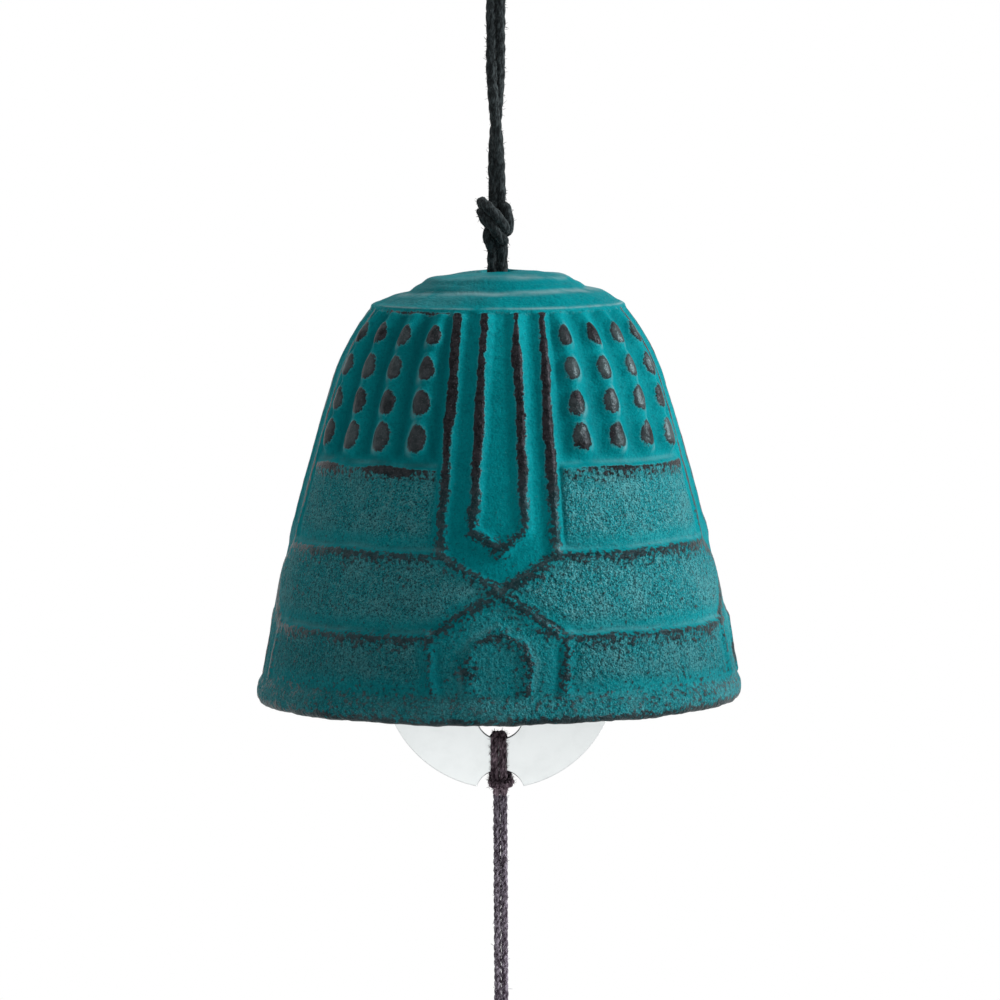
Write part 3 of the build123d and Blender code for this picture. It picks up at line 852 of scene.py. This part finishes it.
# Paper strip: a grid of paper with a hole near its top, a little curled
def make_strip():
    width, length, thick = 50, 128, 0.3
    hole_radius, hole_drop, window = 1.5, 4.5, 3
    # The upper edge of the hole rests on the thread
    thread_half = 0.62
    hole_level = strip_axis + thread_half - hole_radius
    top = hole_level + hole_drop
    points = []
    index = {}

    def spot(x, z):
        """Number of the point at a place, which is made once."""
        key = (round(x, 4), round(z, 4))
        if key not in index:
            index[key] = len(points)
            points.append((x, z))
        return index[key]

    faces = []
    columns = np.linspace(-width / 2, width / 2, width + 1)
    rows = [top, hole_level + window] + [hole_level + window - k for k in range(1, length - 1)]
    rows.append(top - length)
    for high, low in zip(rows, rows[1:]):
        for left, right in zip(columns, columns[1:]):
            inside = abs((left + right) / 2) < window and abs((high + low) / 2 - hole_level) < window
            if not inside:
                faces.append([spot(left, low), spot(right, low), spot(right, high), spot(left, high)])
    # Rings of faces lead from a square window in the grid to the round hole
    run = range(2 * window)
    border = [(k - window, window) for k in run] + [(window, window - k) for k in run]
    border += [(window - k, -window) for k in run] + [(-window, k - window) for k in run]
    rings = 5
    for count, (x0, z0) in enumerate(border):
        x1, z1 = border[(count + 1) % len(border)]
        for ring in range(rings):
            corners = []
            for x, z, step in ((x0, z0, ring), (x1, z1, ring), (x1, z1, ring + 1), (x0, z0, ring + 1)):
                share = 1 + (hole_radius / math.hypot(x, z) - 1) * step / rings
                corners.append(spot(x * share, hole_level + z * share))
            faces.append(corners[::-1])
    # The edges are torn a little uneven, and the sheet curls more toward its foot
    x, z = np.array(points).T
    down = (top - z) / length
    place = np.stack([x, np.zeros_like(x), z], axis=1)
    side_edge = ease(np.abs(x), width / 2 - 1.2, width / 2) * np.sign(x)
    end_edge = ease(down, 1 - 1 / length, 1) - ease(-down, -1 / length, 0)
    x = x + side_edge * 0.18 * noise(place, 1.7, 41)
    z = z + end_edge * 0.18 * noise(place, 1.7, 42)
    curl = 1.6 * (down**2) * np.sin(2.2 * down) + 0.9 * (2 * x / width) ** 2 * (0.25 + 0.75 * down)
    depth = curl - 0.02 + down * (0.5 * noise(place, 30, 43) + 0.12 * noise(place, 9, 44))
    sheet = add_mesh("washi_strip", np.stack([x, depth, z], axis=1), faces, paper)
    thickness = sheet.modifiers.new("thickness", "SOLIDIFY")
    thickness.thickness = thick / 1000
    thickness.offset = 0
    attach(sheet, "strip")
    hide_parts("paper_strip")


make_strip()


# Studio: white all round, with a large soft light from the right, a weak one from above
# and two small ones on the strip
def add_light(name, place, target, size, power, spread=180):
    """A soft square lamp at a place, aimed at a target."""
    light = bpy.data.lights.new(name, "AREA")
    light.energy = power
    light.size = size
    light.spread = math.radians(spread)
    holder = bpy.data.objects.new(name, light)
    holder.location = place
    holder.rotation_euler = (Vector(target) - Vector(place)).to_track_quat("-Z", "Y").to_euler()
    bpy.context.collection.objects.link(holder)


def seen_directly(tree):
    """1 for rays that show the background: to the camera, in a reflection or through something."""
    path = node(tree, "LightPath").outputs
    mirror = sums(tree, "MAXIMUM", path["Is Glossy Ray"], path["Is Transmission Ray"])
    return sums(tree, "MAXIMUM", path["Is Camera Ray"], mirror)


world = bpy.data.worlds.new("studio")
bpy.context.scene.world = world
world.use_nodes = True
background = world.node_tree.nodes["Background"]
background.inputs["Color"].default_value = (1, 1, 1, 1)
ambient = 0.178
shown = sums(world.node_tree, "MULTIPLY_ADD", seen_directly(world.node_tree), 1 - ambient)
shown.node.inputs[2].default_value = ambient
world.node_tree.links.new(shown, background.inputs["Strength"])

bell_middle = (0, 0, -0.085)
add_light("key", (1.05, -0.17, 0.4), bell_middle, size=0.36, power=10.75)
add_light("top", (-0.1, -0.1, 0.9), bell_middle, size=0.6, power=1.2)
strip_foot = (0, 0, -0.29)
add_light("strip_front", (-0.15, -0.6, -0.29), strip_foot, size=0.06, power=0.05, spread=30)
add_light("strip_back", (0.15, 0.6, -0.29), strip_foot, size=0.06, power=0.05, spread=30)


def make_floor():
    """A round pale floor that fades to white away from its middle."""
    level, radius, sides = -325, 700, 96
    ring = round_points(0, 0, radius, 0, 2 * math.pi, sides + 1)[:-1]
    points = [(0, 0, level)] + [(x, y, level) for x, y in ring]
    faces = [[0, 1 + k, 1 + (k + 1) % sides] for k in range(sides)]
    material, tree, shader = new_material("pale_floor")
    shader.inputs["Base Color"].default_value = (0.94, 0.94, 0.94, 1)
    shader.inputs["Roughness"].default_value = 0.9
    flat_place = place_of(tree, (1, 1, 0))
    from_middle = node(tree, "VectorMath", {0: flat_place}, operation="LENGTH").outputs["Value"]
    fade = between(tree, from_middle, 0.2, 0.62, 0.35, 1.0)
    white = sums(tree, "MULTIPLY", fade, seen_directly(tree))
    glow = node(tree, "Emission", {"Color": (1, 1, 1, 1), "Strength": 1.0})
    blend = node(tree, "MixShader", {0: white, 1: shader.outputs[0], 2: glow.outputs[0]})
    tree.links.new(blend.outputs[0], tree.nodes["Material Output"].inputs["Surface"])
    add_mesh("floor", points, faces, material)


make_floor()

# Camera at the photograph's viewing angle
camera = bpy.data.objects.new("camera", bpy.data.cameras.new("camera"))
bpy.context.collection.objects.link(camera)
camera.data.lens = 225.3
camera.data.sensor_width = 36
camera.location = (0.00018, -0.9, -0.0121)
look = Vector((0.00018, 0, -0.0877)) - camera.location
roll = Quaternion((0, 0, 1), math.radians(-0.29))
camera.rotation_euler = (look.to_track_quat("-Z", "Y") @ roll).to_euler()
bpy.context.scene.camera = camera

bpy.context.scene.view_settings.view_transform = "Standard"
